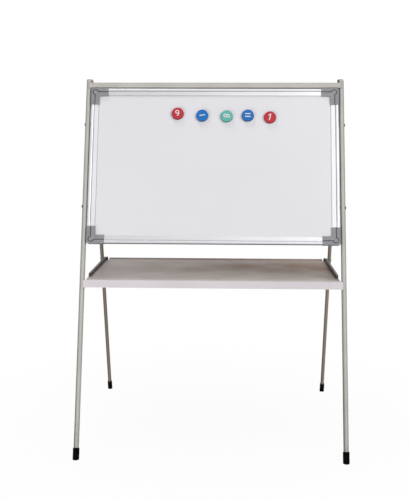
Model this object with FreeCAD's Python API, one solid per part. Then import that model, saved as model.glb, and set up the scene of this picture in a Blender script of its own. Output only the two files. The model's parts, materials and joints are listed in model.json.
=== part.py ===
"""Free-standing drawing board: a magnetic whiteboard on a folding tube easel with a sliding tray.

Millimetres. +Z is up, the user stands on the -Y side and +X is to the user's right.
The origin lies on the floor, in the middle of the object's box.
"""
import FreeCAD, Part
import math
import os

Vector = FreeCAD.Vector

# Front frame: two leaning posts and a crossbar
front_leg_length = 1213.0
front_lean = 17.7
front_tube_d = 16.0
front_tube_wall = 1.2
post_rise = 12.0
crossbar_depth = 16.0
crossbar_height = 18.0
crossbar_corner = 2.5
cope_trim = 1.0

# Rear frame: two thinner legs and a tie bar
rear_lean = 15.4
rear_tube_d = 12.7
rear_tube_wall = 1.1
rear_leg_inset = 4.0
rear_leg_rise = 32.0
rear_crossbar_drop = 190.0

# Rubber feet and end plugs
foot_wall = 2.0
foot_height = 34.0
foot_sole = 10.0
foot_rim_round = 1.2
plug_head = 4.0
plug_round = 3.2
plug_stem = 12.0
plug_bolt_room = 1.5

# Hinge at the top of the legs
hinge_room = 17.3
hinge_lug_thickness = 3.0
hinge_lug_r = 9.0
hinge_side_gap = 0.3
hinge_bolt_d = 6.0
hinge_running_gap = 0.05
hinge_nut_flats = 10.0
hinge_nut_height = 5.0

# Board: panel of three layers in profile rails
board_width = 802.0
board_height = 513.5
board_side_gap = 2.0
board_top_gap = 2.2
sheet_thickness = 0.7
core_thickness = 6.6
panel_front = 7.0

# Rail profile: w runs in from its outer edge, n runs from front to back
rail_width = 25.0
rail_box_width = 11.6
rail_wall = 1.4
rail_front = 11.0
rail_back = 7.0
rail_bead_width = 9.4
rail_bead_height = 2.4
rail_groove = 1.4
rail_fin_step = 0.8
rail_fin_slope = 0.7
rail_fin_chamfer = 1.0
rail_back_fin = 7.0
rail_seat_gap = 0.4

# Corner caps and their screws
cap_arm = 56.0
cap_skin = 1.0
cap_inner_lap = 1.4
cap_edge_round = 0.8
cap_corner_round = 6.0
cap_groove_inset = 14.0
cap_groove_width = 2.6
cap_groove_depth = 0.8
cap_knob_r = 7.0
cap_screw_d = 3.0
cap_screw_head_d = 6.0
cap_screw_head_height = 1.5
cap_screw_inset = 10.0
cap_screw_grip = 3.0
cap_screw_slot_width = 0.8
cap_screw_slot_depth = 0.7

# Bolts that hold the board between the posts
board_bolt_inset = 121.0
board_bolt_d = 5.0
board_nut_flats = 8.0
board_nut_height = 4.0

# Tray: one folded sheet
tray_drop = 108.7
tray_rear_overhang = 16.5
tray_sheet = 1.2
tray_fold_round = 1.0
tray_rim = 4.0
tray_lip_drop = 22.5
tray_lip_gap = 0.6
tray_lip_inset = 3.0
tray_side_room = 8.0
tray_tab_depth = 60.0
tray_tab_gap = 0.6

# Side bars welded to the posts, ledges and stops
tray_rest_gap = 0.3
bar_thickness = 7.0
bar_above_tray = 9.5
bar_leg_gap = 0.35
bar_rear_margin = 8.0
bar_tab_room = 5.0
bar_neck_height = 16.0
bar_neck_lap = 40.0
bar_neck_front = 7.0
ledge_thickness = 3.0
ledge_lap = 8.0
ledge_end_room = 2.0
stop_bolt_d = 6.0
stop_sleeve_wall = 1.5
stop_gap = 0.3
wing_hub_r = 4.8
wing_hub_length = 5.0
wing_ear_r = 2.8
wing_ear_reach = 8.0
wing_ear_thickness = 2.4
wing_turn = 45.0

# Bolt heads and fits shared by all bolts
bolt_head_r = 5.0
bolt_head_height = 1.8
bolt_head_round = 1.2
bolt_socket_flats = 4.0
bolt_socket_depth = 1.0
bolt_tail = 0.6
spacer_wall = 2.5
fit_gap = 0.05
bolt_gap = 0.15

# Magnets: place across the board, and drop below the row's own drop from the board's top edge
magnet_d = 40.0
magnet_height = 8.0
magnet_edge_round = 1.8
magnet_draft = 1.0
magnet_core_d = 30.0
magnet_core_height = 4.5
magnet_rest_gap = 0.3
magnet_row_drop = 92.3
magnet_places = {
    "red_left": (-118.0, -6.0),
    "blue_left": (-38.5, 0.5),
    "green": (40.5, 2.5),
    "blue_right": (108.5, 0.0),
    "red_right": (180.0, 6.0),
}

# Places worked out from the sizes
front_r = front_tube_d / 2
rear_r = rear_tube_d / 2
front_leg_x = board_width / 2 + board_side_gap + front_r
rear_leg_x = front_leg_x - rear_leg_inset
crossbar_s = front_leg_length - post_rise - crossbar_height / 2
board_top = crossbar_s - crossbar_height / 2 - board_top_gap
board_bottom = board_top - board_height
board_middle = (board_top + board_bottom) / 2
core_front = sheet_thickness - panel_front
core_back = core_front + core_thickness
panel_back = core_back + sheet_thickness
hinge_offset = front_r + rear_r + hinge_room

lean_sin = math.sin(math.radians(front_lean))
lean_cos = math.cos(math.radians(front_lean))
rear_tan = math.tan(math.radians(rear_lean))
rear_cos = math.cos(math.radians(rear_lean))

hinge_from_foot = crossbar_s * lean_sin + hinge_offset * lean_cos
hinge_z = crossbar_s * lean_cos - hinge_offset * lean_sin
foot_spread = hinge_from_foot + hinge_z * rear_tan
front_reach = (front_r + foot_wall) / lean_cos
rear_reach = (rear_r + foot_wall) / rear_cos
front_foot_y = (front_reach - rear_reach - foot_spread) / 2
hinge_y = front_foot_y + hinge_from_foot
rear_leg_down = hinge_z / rear_cos

bar_outer_x = rear_leg_x - rear_r - bar_leg_gap
bar_inner_x = bar_outer_x - bar_thickness
tray_height = board_bottom * lean_cos - tray_drop
tray_bottom = tray_height - tray_sheet
bar_bottom = tray_bottom - tray_rest_gap - ledge_thickness
bar_top = tray_height + bar_above_tray
bar_middle = (bar_top + bar_bottom) / 2
bar_end_r = (bar_top - bar_bottom) / 2
neck_top = tray_bottom - tray_rest_gap
neck_bottom = neck_top - bar_neck_height
tray_half = bar_inner_x - tray_side_room
lip_half = front_leg_x - tray_lip_inset

board_bolt_r = board_bolt_d / 2
stop_bolt_r = stop_bolt_d / 2
hinge_bolt_r = hinge_bolt_d / 2
stop_r = stop_bolt_r + bolt_gap + stop_sleeve_wall

X_AXIS = Vector(1, 0, 0)
Y_AXIS = Vector(0, 1, 0)
Z_AXIS = Vector(0, 0, 1)
ORIGIN = Vector(0, 0, 0)
FRONT = FreeCAD.Placement(Vector(0, front_foot_y, 0), FreeCAD.Rotation(X_AXIS, -front_lean))
REAR = FreeCAD.Placement(Vector(0, hinge_y, hinge_z), FreeCAD.Rotation(X_AXIS, rear_lean))


def front_line_y(z, n):
    """Room Y at height z of a line that runs along the posts, n behind their axes."""
    return front_foot_y + z * lean_sin / lean_cos + n / lean_cos


def rear_line_y(z, n):
    """Room Y at height z of a line that runs along the rear legs, n behind their axes."""
    return hinge_y + (hinge_z - z) * rear_tan + n / rear_cos


def on_front(shape):
    """Lean a shape that is drawn upright over the posts' feet."""
    placed = shape.copy()
    placed.Placement = FRONT.multiply(placed.Placement)
    return placed


def on_rear(shape):
    """Lean a shape that is drawn upright under the hinge."""
    placed = shape.copy()
    placed.Placement = REAR.multiply(placed.Placement)
    return placed


def mirrored(shape):
    return shape.mirror(ORIGIN, X_AXIS)


def flipped(shape):
    """Mirror an upright shape from the board's top half to its bottom half."""
    return shape.mirror(Vector(0, 0, board_middle), Z_AXIS)


def box(x0, x1, y0, y1, z0, z1):
    return Part.makeBox(x1 - x0, y1 - y0, z1 - z0, Vector(x0, y0, z0))


def rod(r, x0, x1, y=0.0, z=0.0):
    """A cylinder along X."""
    return Part.makeCylinder(r, x1 - x0, Vector(x0, y, z), X_AXIS)


def dowel(r, y0, y1, x, z):
    """A cylinder along Y."""
    return Part.makeCylinder(r, y1 - y0, Vector(x, y0, z), Y_AXIS)


def post(r, z0, z1, x=0.0):
    """A cylinder along Z."""
    return Part.makeCylinder(r, z1 - z0, Vector(x, 0, z0), Z_AXIS)


def ring(r, bore_r, x0, x1, y, z):
    return rod(r, x0, x1, y, z).cut(rod(bore_r, x0, x1, y, z))


def plate(outline, x0, x1):
    """A flat plate across X, from the (y, z) corners of its outline."""
    corners = [Vector(x0, y, z) for y, z in outline]
    return Part.Face(Part.makePolygon(corners + corners[:1])).extrude(Vector(x1 - x0, 0, 0))


def rounded(shape, radius, wanted):
    """Fillet the edges whose boxes pass the test."""
    return shape.makeFillet(radius, [edge for edge in shape.Edges if wanted(edge.BoundBox)])


def level_at(x=None, y=None, z=None):
    """A test for edges that lie flat in one plane."""
    def wanted(b):
        for value, low, high in ((x, b.XMin, b.XMax), (y, b.YMin, b.YMax), (z, b.ZMin, b.ZMax)):
            if value is not None and max(abs(low - value), abs(high - value)) > 1e-4:
                return False
        return True
    return wanted


def hexagon(flats, x0, x1, y, z):
    """A six-sided prism along X."""
    corner_r = flats / math.sqrt(3)
    turns = [math.radians(60 * step) for step in range(6)]
    return plate([(y + corner_r * math.sin(turn), z + corner_r * math.cos(turn)) for turn in turns], x0, x1)


def hex_nut(flats, bore_r, x0, x1, y, z):
    return hexagon(flats, x0, x1, y, z).cut(rod(bore_r, x0, x1, y, z))


def headed_bolt(r, tip_x, seat_x, y, z):
    """A bolt along X: a low round head with a hex socket outside seat_x, and its tip at tip_x."""
    crown = seat_x + bolt_head_height
    head = rounded(rod(bolt_head_r, seat_x, crown, y, z), bolt_head_round, level_at(x=crown))
    head = head.cut(hexagon(bolt_socket_flats, crown - bolt_socket_depth, crown, y, z))
    return head.fuse(rod(r, tip_x, seat_x, y, z)).removeSplitter()


def tube(r, wall, z0, z1, x):
    return post(r, z0, z1, x).cut(post(r - wall, z0, z1, x))


def end_plug(r, wall, z, x, stem_length):
    """A domed plug whose stem fills the tube's top end."""
    stem = post(r - wall - fit_gap, z - stem_length, z, x)
    head = rounded(post(r, z, z + plug_head, x), plug_round, level_at(z=z + plug_head))
    return stem.fuse(head).removeSplitter()


def rubber_foot(r, x, floor_z):
    """A cap over the leg's end. floor_z is where the leg's axis meets the floor."""
    outer_r = r + foot_wall
    rim_z = floor_z + foot_height
    body = rounded(post(outer_r, floor_z - outer_r, rim_z, x), foot_rim_round, level_at(z=rim_z))
    return body.cut(post(r + fit_gap, floor_z + foot_sole, rim_z, x))


def cut_at_floor(shape):
    return shape.cut(box(-board_width, board_width, -foot_spread, foot_spread, -foot_height, 0))


# Front frame

def front_leg():
    """Right post, drilled for the board's bolts."""
    leg = tube(front_r, front_tube_wall, foot_sole, front_leg_length - plug_head, front_leg_x)
    for s in board_bolt_places():
        leg = leg.cut(rod(board_bolt_r + bolt_gap, 0, 2 * front_leg_x, 0, s))
    return on_front(leg)


def top_crossbar():
    """A rectangular tube with its ends coped to the posts."""
    end_x = front_leg_x - cope_trim

    def block(wall):
        half_depth = crossbar_depth / 2 - wall
        half_height = crossbar_height / 2 - wall
        return box(-end_x, end_x, -half_depth, half_depth, crossbar_s - half_height, crossbar_s + half_height)

    bar = rounded(block(0), crossbar_corner, lambda b: b.XLength > end_x)
    bar = bar.cut(block(front_tube_wall))
    for x in (-front_leg_x, front_leg_x):
        bar = bar.cut(post(front_r + fit_gap, board_top, front_leg_length, x))
    return on_front(bar)


def front_plug():
    return on_front(end_plug(front_r, front_tube_wall, front_leg_length - plug_head, front_leg_x, plug_stem))


def front_foot():
    return cut_at_floor(on_front(rubber_foot(front_r, front_leg_x, 0)))


def hinge_lug():
    """A plate welded to the back of the right post, which carries the rear leg's bolt."""
    x0 = rear_leg_x + rear_r + hinge_side_gap
    x1 = x0 + hinge_lug_thickness
    lug = box(x0, x1, 0, hinge_offset, crossbar_s - hinge_lug_r, crossbar_s + hinge_lug_r)
    lug = lug.fuse(rod(hinge_lug_r, x0, x1, hinge_offset, crossbar_s)).removeSplitter()
    lug = lug.cut(rod(hinge_bolt_r + hinge_running_gap, x0, x1, hinge_offset, crossbar_s))
    return on_front(lug.cut(post(front_r + fit_gap, 0, front_leg_length, front_leg_x)))


# Rear frame

def rear_leg():
    leg = tube(rear_r, rear_tube_wall, foot_sole - rear_leg_down, rear_leg_rise - plug_head, rear_leg_x)
    return on_rear(leg.cut(rod(hinge_bolt_r + bolt_gap, 0, 2 * rear_leg_x)))


def rear_crossbar():
    """A round tie between the rear legs, with its ends coped to them."""
    end_x = rear_leg_x - cope_trim
    bar = ring(rear_r, rear_r - rear_tube_wall, -end_x, end_x, 0, -rear_crossbar_drop)
    for x in (-rear_leg_x, rear_leg_x):
        bar = bar.cut(post(rear_r + fit_gap, -2 * rear_crossbar_drop, 0, x))
    return on_rear(bar)


def rear_plug():
    """Right plug, whose stem ends above the hinge bolt."""
    tube_top = rear_leg_rise - plug_head
    stem_length = tube_top - hinge_bolt_r - plug_bolt_room
    return on_rear(end_plug(rear_r, rear_tube_wall, tube_top, rear_leg_x, stem_length))


def rear_foot():
    return cut_at_floor(on_rear(rubber_foot(rear_r, rear_leg_x, -rear_leg_down)))


def hinge_bolt():
    """Right hinge bolt: its head is outside the lug and it turns with the rear leg."""
    seat_x = rear_leg_x + rear_r + hinge_side_gap + hinge_lug_thickness + hinge_side_gap
    tip_x = rear_leg_x - rear_r - fit_gap - hinge_nut_height - bolt_tail
    return on_rear(headed_bolt(hinge_bolt_r, tip_x, seat_x, 0, 0))


def hinge_nut():
    x1 = rear_leg_x - rear_r - fit_gap
    return on_rear(hex_nut(hinge_nut_flats, hinge_bolt_r + fit_gap, x1 - hinge_nut_height, x1, 0, 0))


# Board

def board_bolt_places():
    """Places along the posts of the bolts that hold the board."""
    return (board_bottom + board_bolt_inset, board_top - board_bolt_inset)


def rail_face():
    """Section of a rail: a hollow box with a bead in front, a front fin and a short back fin."""
    box_front = rail_bead_height - rail_front
    fin_front = rail_fin_step - rail_front
    fin_tip = fin_front + rail_fin_slope
    fin_w = rail_bead_width + rail_groove
    sheet_n = -panel_front - fit_gap
    lip_w = rail_width - rail_wall
    back_n = panel_back + fit_gap
    back_w = rail_box_width + rail_back_fin
    bead_start = Vector(0, box_front, 0)
    bead_top = Vector(rail_bead_width / 2, -rail_front, 0)
    bead_end = Vector(rail_bead_width, box_front, 0)
    bead = Part.Arc(bead_start, bead_top, bead_end).toShape()
    corners = [
        bead_end,
        Vector(fin_w, box_front, 0),
        Vector(fin_w, fin_front, 0),
        Vector(rail_width - rail_fin_chamfer, fin_tip, 0),
        Vector(rail_width, fin_tip + rail_fin_chamfer, 0),
        Vector(rail_width, sheet_n, 0),
        Vector(lip_w, sheet_n, 0),
        Vector(lip_w, fin_tip + rail_wall, 0),
        Vector(rail_box_width, fin_tip + rail_wall, 0),
        Vector(rail_box_width, back_n, 0),
        Vector(back_w, back_n, 0),
        Vector(back_w, back_n + rail_wall, 0),
        Vector(rail_box_width, back_n + rail_wall, 0),
        Vector(rail_box_width, rail_back, 0),
        Vector(0, rail_back, 0),
        bead_start,
    ]
    outline = Part.Wire([bead] + Part.makePolygon(corners).Edges)
    hollow = Part.makePlane(
        rail_box_width - 2 * rail_wall,
        rail_back - box_front - 2 * rail_wall,
        Vector(rail_wall, box_front + rail_wall, 0))
    return Part.Face(outline).cut(hollow).Faces[0]


def rail(inward, length, edge_x, edge_s):
    """One rail, centred on a point of its outer edge, with the section's w axis along inward."""
    along = inward.cross(Y_AXIS)
    turn = FreeCAD.Matrix(
        inward.x, 0, along.x, edge_x,
        inward.y, 1, along.y, 0,
        inward.z, 0, along.z, edge_s,
        0, 0, 0, 1)
    bar = rail_face().extrude(Vector(0, 0, length))
    centred = FreeCAD.Placement(Vector(0, 0, -length / 2), FreeCAD.Rotation())
    bar.Placement = FreeCAD.Placement(turn).multiply(centred)
    return bar


def rail_end_inset():
    """Distance from the board's edge to the rails' ends, which butt on the caps' solid corners."""
    return cap_width() + fit_gap


def frame_rails():
    level_length = board_width - 2 * rail_end_inset()
    upright_length = board_height - 2 * rail_end_inset()
    edge_x = board_width / 2 - cap_skin
    upright = rail(-X_AXIS, upright_length, edge_x, board_middle)
    for s in board_bolt_places():
        upright = upright.cut(rod(board_bolt_r + bolt_gap, edge_x - rail_box_width / 2, front_leg_x, 0, s))
    return {
        "frame_rail_top": on_front(rail(-Z_AXIS, level_length, 0, board_top - cap_skin)),
        "frame_rail_bottom": on_front(rail(Z_AXIS, level_length, 0, board_bottom + cap_skin)),
        "frame_rail_right": on_front(upright),
        "frame_rail_left": on_front(mirrored(upright)),
    }


def panel_layer(n0, n1, grow=0.0):
    """One flat layer of the panel between two depths, widened by grow for the caps' slots."""
    inset = cap_skin + rail_box_width + rail_seat_gap - grow
    half = board_width / 2 - inset
    return box(-half, half, n0, n1, board_bottom + inset, board_top - inset)


def panel_layers():
    return {
        "writing_sheet": on_front(panel_layer(-panel_front, core_front)),
        "board_core": on_front(panel_layer(core_front, core_back)),
        "back_sheet": on_front(panel_layer(core_back, panel_back)),
    }


def cap_width():
    return cap_skin + rail_width + cap_inner_lap


def corner_l(inset, width, arm, n0, n1):
    """An L along the board's top and right edges, inset from its corner."""
    corner_x = board_width / 2
    x1 = corner_x - inset
    s1 = board_top - inset
    level = box(corner_x - arm, x1, n0, n1, s1 - width, s1)
    upright = box(x1 - width, x1, n0, n1, board_top - arm, s1)
    return level.fuse(upright).removeSplitter()


def corner_cap():
    """Top right cap: an L-shaped sleeve over the rails' ends, solid at the corner."""
    corner_x = board_width / 2
    n0 = -rail_front - cap_skin
    n1 = rail_back + cap_skin
    body = corner_l(0, cap_width(), cap_arm, n0, n1)
    body = rounded(body, cap_corner_round, level_at(x=corner_x, z=board_top))
    body = rounded(body, cap_edge_round, level_at(y=n0))
    sleeve = corner_l(cap_skin - fit_gap, rail_width + 2 * fit_gap, 2 * cap_arm,
                      -rail_front - fit_gap, rail_back + fit_gap)
    solid_corner = box(corner_x - cap_width(), corner_x, n0, n1, board_top - cap_width(), board_top)
    body = body.cut(sleeve.cut(solid_corner))
    body = body.cut(panel_layer(-panel_front - fit_gap, panel_back + fit_gap, fit_gap))
    body = body.cut(cap_groove(n0))
    for x, s in cap_screw_places():
        body = body.cut(dowel(cap_screw_d / 2 + fit_gap, rail_back, n1, x, s))
    return body


def cap_groove(n0):
    """The line sunk into the cap's face, which swells round a knob at the corner."""
    depth_n = n0 + cap_groove_depth

    def raised(grow):
        face = corner_l(cap_groove_inset - grow, cap_width(), 2 * cap_arm, n0, depth_n)
        knob_x = board_width / 2 - cap_groove_inset
        knob_s = board_top - cap_groove_inset
        return face.fuse(dowel(cap_knob_r + grow, n0, depth_n, knob_x, knob_s))

    return raised(cap_groove_width).cut(raised(0))


def cap_screw_places():
    """One screw in each arm of the top right cap, over the middle of the rail's box."""
    inset = cap_skin + rail_box_width / 2
    arm = cap_arm - cap_screw_inset
    return ((board_width / 2 - arm, board_top - inset), (board_width / 2 - inset, board_top - arm))


def corner_caps():
    top_right = corner_cap()
    bottom_right = flipped(top_right)
    return {
        "corner_cap_top_right": on_front(top_right),
        "corner_cap_bottom_right": on_front(bottom_right),
        "corner_cap_top_left": on_front(mirrored(top_right)),
        "corner_cap_bottom_left": on_front(mirrored(bottom_right)),
    }


def corner_cap_screws():
    """Screws on the backs of the caps, whose tips end in the rails' back walls."""
    seat_n = rail_back + cap_skin
    screws = []
    for x, s in cap_screw_places():
        crown = seat_n + cap_screw_head_height
        slot_half = cap_screw_slot_width / 2
        head = dowel(cap_screw_head_d / 2, seat_n, crown, x, s)
        head = head.cut(box(x - cap_screw_head_d, x + cap_screw_head_d, crown - cap_screw_slot_depth, crown,
                            s - slot_half, s + slot_half))
        shank = dowel(cap_screw_d / 2, rail_back - cap_screw_grip, seat_n, x, s)
        screw = head.fuse(shank).removeSplitter()
        for half in (screw, flipped(screw)):
            screws += [on_front(half), on_front(mirrored(half))]
    return Part.makeCompound(screws)


def rails_drilled_for_screws(rails):
    """The cap screws' holes, cut after the rails are placed."""
    for x, s in cap_screw_places():
        hole = dowel(cap_screw_d / 2 + fit_gap, rail_back - cap_screw_grip, rail_back, x, s)
        for half in (hole, flipped(hole)):
            for cutter in (on_front(half), on_front(mirrored(half))):
                rails = {name: bar.cut(cutter) for name, bar in rails.items()}
    return rails


def board_fasteners():
    """Right bolts through the post into the rail, with a spacer between and a nut inside the rail."""
    rail_x = board_width / 2 - cap_skin
    nut_x = rail_x - rail_wall - fit_gap
    tip_x = nut_x - board_nut_height - bolt_tail
    head_x = front_leg_x + front_r + fit_gap
    bore_r = board_bolt_r + bolt_gap
    bolts = []
    spacers = []
    nuts = []
    for s in board_bolt_places():
        bolts.append(on_front(headed_bolt(board_bolt_r, tip_x, head_x, 0, s)))
        spacer = ring(bore_r + spacer_wall, bore_r, rail_x + fit_gap, front_leg_x - front_r - fit_gap, 0, s)
        spacers.append(on_front(spacer))
        nut = hex_nut(board_nut_flats, board_bolt_r + fit_gap, nut_x - board_nut_height, nut_x, 0, s)
        nuts.append(on_front(nut))
    return {
        "board_bolts": pairs(bolts),
        "board_bolt_spacers": pairs(spacers),
        "board_bolt_nuts": pairs(nuts),
    }


# Side bars

def stop_y():
    """Y of the stop behind the rear leg, at the bar's mid height."""
    return rear_line_y(bar_middle, rear_r + stop_gap + stop_r)


def tray_front_y():
    """Y of the deck's front edge, just in front of the posts."""
    return front_line_y(tray_height, -front_r - tray_lip_gap)


def bar_front_y():
    """Y of the centre of the bar's round front end, behind the tray's corner tab."""
    return tray_front_y() + tray_tab_depth + bar_tab_room + bar_end_r


def side_bar():
    """Right bar: a flat on edge to behind the rear leg, on a low neck that is welded to the post."""
    front_y = bar_front_y()
    round_y = stop_y() + bar_rear_margin - bar_end_r
    bar = box(bar_inner_x, bar_outer_x, front_y, round_y, bar_bottom, bar_top)
    for y in (front_y, round_y):
        bar = bar.fuse(rod(bar_end_r, bar_inner_x, bar_outer_x, y, bar_middle))
    neck_y = front_line_y(neck_top, 0) - bar_neck_front
    bar = bar.fuse(box(bar_inner_x, bar_outer_x, neck_y, front_y + bar_neck_lap, neck_bottom, neck_top))
    weld_y = front_line_y(neck_bottom, 0) + bar_neck_front
    bar = bar.fuse(box(bar_outer_x, front_leg_x - front_r / 2, neck_y, weld_y, neck_bottom, neck_top))
    bar = bar.cut(on_front(post(front_r + fit_gap, 0, front_leg_length, front_leg_x))).removeSplitter()
    return bar.cut(rod(stop_bolt_r + bolt_gap, bar_inner_x, bar_outer_x, stop_y(), bar_middle))


def tray_ledge():
    """Right strip welded along the bar's foot, on which the tray slides."""
    inner_x = tray_half - ledge_lap
    rear_y = stop_y() - wing_ear_reach - wing_ear_r - ledge_end_room
    return box(inner_x, bar_inner_x, bar_front_y(), rear_y, bar_bottom, bar_bottom + ledge_thickness)


def stop_fasteners():
    """Right stop: a sleeved bolt behind the rear leg, held by a wing nut inside the bar."""
    y = stop_y()
    sleeve_end = rear_leg_x + rear_r + bar_leg_gap
    nut_x = bar_inner_x - fit_gap
    tip_x = nut_x - wing_hub_length - bolt_tail
    bolt = headed_bolt(stop_bolt_r, tip_x, sleeve_end + fit_gap, y, bar_middle)
    sleeve = ring(stop_r, stop_bolt_r + bolt_gap, bar_outer_x + fit_gap, sleeve_end, y, bar_middle)
    nut = rod(wing_hub_r, nut_x - wing_hub_length, nut_x, y, bar_middle)
    ear_x = nut_x - wing_ear_r
    ear_y0 = y - wing_ear_thickness / 2
    ear_y1 = y + wing_ear_thickness / 2
    for reach in (-wing_ear_reach, wing_ear_reach):
        low, high = sorted((bar_middle, bar_middle + reach))
        nut = nut.fuse(dowel(wing_ear_r, ear_y0, ear_y1, ear_x, bar_middle + reach))
        nut = nut.fuse(box(nut_x - wing_hub_length, ear_x, ear_y0, ear_y1, low, high))
    nut = nut.removeSplitter().cut(rod(stop_bolt_r + fit_gap, tip_x, nut_x, y, bar_middle))
    nut.rotate(Vector(0, y, bar_middle), X_AXIS, wing_turn)
    return {
        "stop_bolts": pairs([bolt]),
        "stop_sleeves": pairs([sleeve]),
        "stop_wing_nuts": pairs([nut]),
    }


# Tray

def tray_flats():
    """One folded sheet, kept as its flats: deck, corner tabs, front lip and rear rim."""
    inner_n = -front_r - tray_lip_gap
    outer_n = inner_n - tray_sheet
    front_y = tray_front_y()
    rear_y = stop_y() + tray_rear_overhang
    fold_y = front_line_y(tray_height, outer_n)
    lip_bottom = tray_height - tray_lip_drop
    rim_top = tray_height + tray_rim
    tab_half = rear_leg_x - rear_r - tray_tab_gap

    def flat(back_y, x0, x1):
        return plate([
            (front_line_y(tray_bottom, inner_n), tray_bottom),
            (front_y, tray_height),
            (back_y, tray_height),
            (back_y, tray_bottom),
        ], x0, x1)

    tab = flat(front_y + tray_tab_depth, tray_half, tab_half)
    lip = plate([
        (fold_y, tray_height),
        (front_y, tray_height),
        (front_line_y(lip_bottom, inner_n), lip_bottom),
        (front_line_y(lip_bottom, outer_n), lip_bottom),
    ], -lip_half, lip_half)
    lip = rounded(lip, tray_fold_round, level_at(y=fold_y, z=tray_height))
    return {
        "tray_deck": flat(rear_y, -tray_half, tray_half),
        "tray_corner_tab_right": tab,
        "tray_corner_tab_left": mirrored(tab),
        "tray_front_lip": lip,
        "tray_rear_rim": box(-tray_half, tray_half, rear_y - tray_sheet, rear_y, tray_height, rim_top),
    }


# Magnets

def magnet_cap():
    """A moulded disc drawn along Z, with a pocket for its magnet underneath."""
    r = magnet_d / 2
    cap = Part.makeCone(r, r - magnet_draft, magnet_height)
    cap = rounded(cap, magnet_edge_round, level_at(z=magnet_height))
    return cap.cut(post(magnet_core_d / 2 + fit_gap, 0, magnet_core_height + fit_gap))


def on_board(shape, x, drop):
    """Stand a shape drawn along Z on the writing sheet, pointing at the user."""
    seat = Vector(x, -panel_front - magnet_rest_gap, board_top - drop)
    placed = shape.copy()
    placed.Placement = FreeCAD.Placement(seat, FreeCAD.Rotation(X_AXIS, 90))
    return on_front(placed)


def magnets():
    core = post(magnet_core_d / 2, 0, magnet_core_height)
    shapes = {}
    for name, (x, lower) in magnet_places.items():
        shapes["magnet_cap_" + name] = on_board(magnet_cap(), x, magnet_row_drop + lower)
        shapes["magnet_core_" + name] = on_board(core, x, magnet_row_drop + lower)
    return shapes


# Both sides and export

def left_and_right(name, right):
    return {name + "_right": right, name + "_left": mirrored(right)}


def pairs(rights):
    """Each piece of the right side with its mirror image, as one group of solids."""
    solids = []
    for right in rights:
        solids += [right, mirrored(right)]
    return Part.makeCompound(solids)


def all_parts():
    parts = {}
    parts.update(left_and_right("front_leg", front_leg()))
    parts["top_crossbar"] = top_crossbar()
    parts["front_leg_plugs"] = pairs([front_plug()])
    parts.update(left_and_right("front_foot", front_foot()))
    parts.update(left_and_right("hinge_lug", hinge_lug()))
    parts.update(left_and_right("rear_leg", rear_leg()))
    parts["rear_crossbar"] = rear_crossbar()
    parts.update(left_and_right("rear_leg_plug", rear_plug()))
    parts.update(left_and_right("rear_foot", rear_foot()))
    parts["hinge_bolts"] = pairs([hinge_bolt()])
    parts["hinge_nuts"] = pairs([hinge_nut()])
    parts.update(rails_drilled_for_screws(frame_rails()))
    parts.update(panel_layers())
    parts.update(corner_caps())
    parts["corner_cap_screws"] = corner_cap_screws()
    parts.update(board_fasteners())
    parts.update(left_and_right("side_bar", side_bar()))
    parts.update(left_and_right("tray_ledge", tray_ledge()))
    parts.update(stop_fasteners())
    parts.update(tray_flats())
    parts.update(magnets())
    return parts


os.makedirs("parts", exist_ok=True)
for node, shape in all_parts().items():
    shape.exportStep(os.path.join("parts", node + ".step"))
    solids = shape.Solids
    print(node, len(solids), "solids", all(solid.isValid() for solid in solids), round(shape.Volume))
print("front foot y", round(front_foot_y, 3), "hinge y, z", round(hinge_y, 3), round(hinge_z, 3))
print("posts' direction y, z", round(lean_sin, 5), round(lean_cos, 5))
print("tray front y", round(tray_front_y(), 3), "half", round(tray_half, 3))
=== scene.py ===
# %% [markdown]
# # Dressing a free-standing drawing board
# The solids of this easel come from a CAD model, with every piece at its real size and in its place.
# This lesson gives them their finishes, adds the small pieces that the solids leave out, and sets up
# the light and the camera. Lengths are metres, +Z is up and the user stands on the -Y side.

# %% Load the solids
import json
import math

import bmesh
import bpy
from mathutils import Matrix, Vector


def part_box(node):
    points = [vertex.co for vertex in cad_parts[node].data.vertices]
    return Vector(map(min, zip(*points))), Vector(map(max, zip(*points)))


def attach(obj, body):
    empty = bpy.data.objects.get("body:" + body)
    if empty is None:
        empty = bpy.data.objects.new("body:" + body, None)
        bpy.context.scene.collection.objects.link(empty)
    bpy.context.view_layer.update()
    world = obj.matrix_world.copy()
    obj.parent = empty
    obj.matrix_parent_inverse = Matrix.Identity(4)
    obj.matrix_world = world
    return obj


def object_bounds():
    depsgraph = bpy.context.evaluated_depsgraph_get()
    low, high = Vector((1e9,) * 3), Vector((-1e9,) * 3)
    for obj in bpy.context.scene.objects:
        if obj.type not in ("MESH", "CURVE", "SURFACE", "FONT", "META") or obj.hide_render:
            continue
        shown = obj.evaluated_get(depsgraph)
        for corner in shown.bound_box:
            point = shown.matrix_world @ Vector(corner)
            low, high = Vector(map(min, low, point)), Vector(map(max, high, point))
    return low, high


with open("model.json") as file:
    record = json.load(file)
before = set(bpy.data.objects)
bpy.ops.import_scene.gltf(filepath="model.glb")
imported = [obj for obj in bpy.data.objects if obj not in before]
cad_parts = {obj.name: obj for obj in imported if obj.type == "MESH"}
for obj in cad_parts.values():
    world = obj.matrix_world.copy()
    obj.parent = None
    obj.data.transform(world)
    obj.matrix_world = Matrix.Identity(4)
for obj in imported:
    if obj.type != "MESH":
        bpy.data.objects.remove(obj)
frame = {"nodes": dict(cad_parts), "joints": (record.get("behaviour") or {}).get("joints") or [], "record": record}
nodes = frame["nodes"]
cad_low, cad_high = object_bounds()
print("loaded", len(nodes), "nodes, box", [round(side, 3) for side in cad_high - cad_low])

# %% [markdown]
# The board leans back between its posts, so many pieces lie along it or stand square to it. A magnet
# comes off straight out from the board, and its joint holds that direction. Reading the lean from the
# joint keeps this script right when the model's lean changes.

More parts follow.
